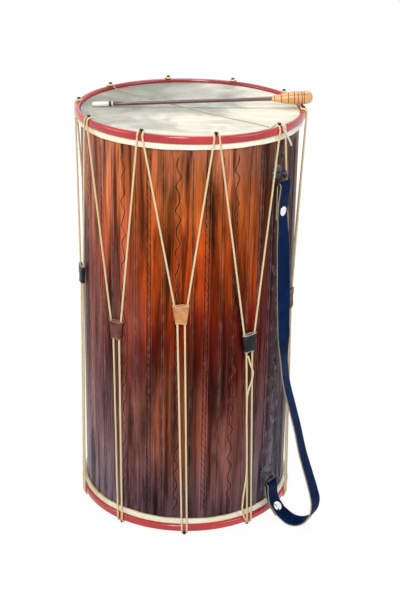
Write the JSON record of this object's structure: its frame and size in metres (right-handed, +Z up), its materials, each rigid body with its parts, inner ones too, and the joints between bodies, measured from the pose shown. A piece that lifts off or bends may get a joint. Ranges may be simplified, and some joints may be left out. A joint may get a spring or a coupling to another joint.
{
  "type": "tabor",
  "caption": "Long rope-tensioned tabor: fluted walnut shell, skin heads, red hoops, headed pins, sliding leather tugs, carrying strap on rings, and a turned stick.",
  "frame": {"origin": "centre of the lower head's outer face", "axes": "+Z up along the drum's axis, -Y towards the front of the picture, +X to the viewer's right"},
  "size_m": [0.4395, 0.4009, 0.7588],
  "materials": {
    "walnut": "oiled and polished reddish walnut",
    "skin": "scraped calfskin, mottled, matt",
    "red_lacquer": "high gloss red lacquer on wood",
    "beech": "bare sanded beech",
    "iron": "blackened iron",
    "hemp": "laid hemp cord",
    "tan_leather": "worn tan leather",
    "dark_leather": "worn dark leather",
    "navy_leather": "smooth navy leather with raw edges",
    "nickel": "bright plated metal",
    "ebony": "polished dark hardwood",
    "bone": "ivory-white turned bone",
    "olive_wood": "polished light wood with dark grooves"
  },
  "bodies": {
    "drum": {"shell": "walnut", "top_reinforcing_ring": "beech", "bottom_reinforcing_ring": "beech", "top_head": "skin", "bottom_head": "skin", "top_flesh_hoop": "beech", "bottom_flesh_hoop": "beech", "top_counter_hoop": "red_lacquer", "bottom_counter_hoop": "red_lacquer", "top_pin_1": "iron", "top_pin_2": "iron", "top_pin_3": "iron", "top_pin_4": "iron", "top_pin_5": "iron", "top_pin_6": "iron", "top_pin_7": "iron", "top_pin_8": "iron", "top_pin_9": "iron", "top_pin_10": "iron", "bottom_pin_1": "iron", "bottom_pin_2": "iron", "bottom_pin_3": "iron", "bottom_pin_4": "iron", "bottom_pin_5": "iron", "bottom_pin_6": "iron", "bottom_pin_7": "iron", "bottom_pin_8": "iron", "bottom_pin_9": "iron", "bottom_pin_10": "iron", "tension_rope": "hemp", "rope_spare_end": "hemp", "snare": "hemp", "strap": "navy_leather", "strap_eye_top": "iron", "strap_eye_bottom": "iron", "strap_eye_nut_top": "iron", "strap_eye_nut_bottom": "iron", "eye_rosette_top": "iron", "eye_rosette_bottom": "iron"},
    "tug_1": {"tug_1": "tan_leather"},
    "tug_2": {"tug_2": "dark_leather"},
    "tug_3": {"tug_3": "dark_leather"},
    "tug_4": {"tug_4": "dark_leather"},
    "tug_5": {"tug_5": "tan_leather"},
    "tug_6": {"tug_6": "dark_leather"},
    "tug_7": {"tug_7": "dark_leather"},
    "tug_8": {"tug_8": "tan_leather"},
    "tug_9": {"tug_9": "dark_leather"},
    "tug_10": {"tug_10": "dark_leather"},
    "top_ring": {"strap_ring_top": "iron", "strap_rivet_top": "nickel"},
    "bottom_ring": {"strap_ring_bottom": "iron", "strap_rivet_bottom": "nickel"},
    "stick": {"stick_shaft": "ebony", "stick_handle": "olive_wood", "stick_tip": "bone", "stick_collar": "ebony", "stick_ring": "bone"}
  },
  "joints": [
    {"name": "tug_1_slide", "type": "slide", "parent": "drum", "child": "tug_1", "axis": [-0.0249, 0.0152, 0.9996], "range_m": [-0.25, 0.1], "deforming": ["tension_rope"]},
    {"name": "tug_2_slide", "type": "slide", "parent": "drum", "child": "tug_2", "axis": [-0.0291, -0.0024, 0.9996], "range_m": [-0.25, 0.1], "deforming": ["tension_rope", "rope_spare_end"]},
    {"name": "tug_3_slide", "type": "slide", "parent": "drum", "child": "tug_3", "axis": [-0.0221, -0.019, 0.9996], "range_m": [-0.25, 0.1], "deforming": ["tension_rope"]},
    {"name": "tug_4_slide", "type": "slide", "parent": "drum", "child": "tug_4", "axis": [-0.0067, -0.0284, 0.9996], "range_m": [-0.25, 0.1], "deforming": ["tension_rope"]},
    {"name": "tug_5_slide", "type": "slide", "parent": "drum", "child": "tug_5", "axis": [0.0113, -0.0269, 0.9996], "range_m": [-0.25, 0.1], "deforming": ["tension_rope"]},
    {"name": "tug_6_slide", "type": "slide", "parent": "drum", "child": "tug_6", "axis": [0.0249, -0.0152, 0.9996], "range_m": [-0.25, 0.1], "deforming": ["tension_rope"]},
    {"name": "tug_7_slide", "type": "slide", "parent": "drum", "child": "tug_7", "axis": [0.0291, 0.0024, 0.9996], "range_m": [-0.25, 0.1], "deforming": ["tension_rope"]},
    {"name": "tug_8_slide", "type": "slide", "parent": "drum", "child": "tug_8", "axis": [0.0221, 0.019, 0.9996], "range_m": [-0.25, 0.1], "deforming": ["tension_rope"]},
    {"name": "tug_9_slide", "type": "slide", "parent": "drum", "child": "tug_9", "axis": [0.0067, 0.0284, 0.9996], "range_m": [-0.25, 0.1], "deforming": ["tension_rope"]},
    {"name": "tug_10_slide", "type": "slide", "parent": "drum", "child": "tug_10", "axis": [-0.0113, 0.0269, 0.9996], "range_m": [-0.25, 0.1], "deforming": ["tension_rope"]},
    {"name": "top_ring_swing", "type": "hinge", "parent": "drum", "child": "top_ring", "pos_m": [0.15398, -0.13151, 0.6444], "axis": [-0.6494, -0.7604, 0], "range_deg": [0, 100], "deforming": ["strap"]},
    {"name": "bottom_ring_swing", "type": "hinge", "parent": "drum", "child": "bottom_ring", "pos_m": [0.15398, -0.13151, 0.0737], "axis": [-0.6494, -0.7604, 0], "range_deg": [0, 100], "deforming": ["strap"]},
    {"name": "stick_lift", "type": "slide", "parent": "drum", "child": "stick", "axis": [0, 0, 1], "range_m": [0, 0.15]}
  ]
}
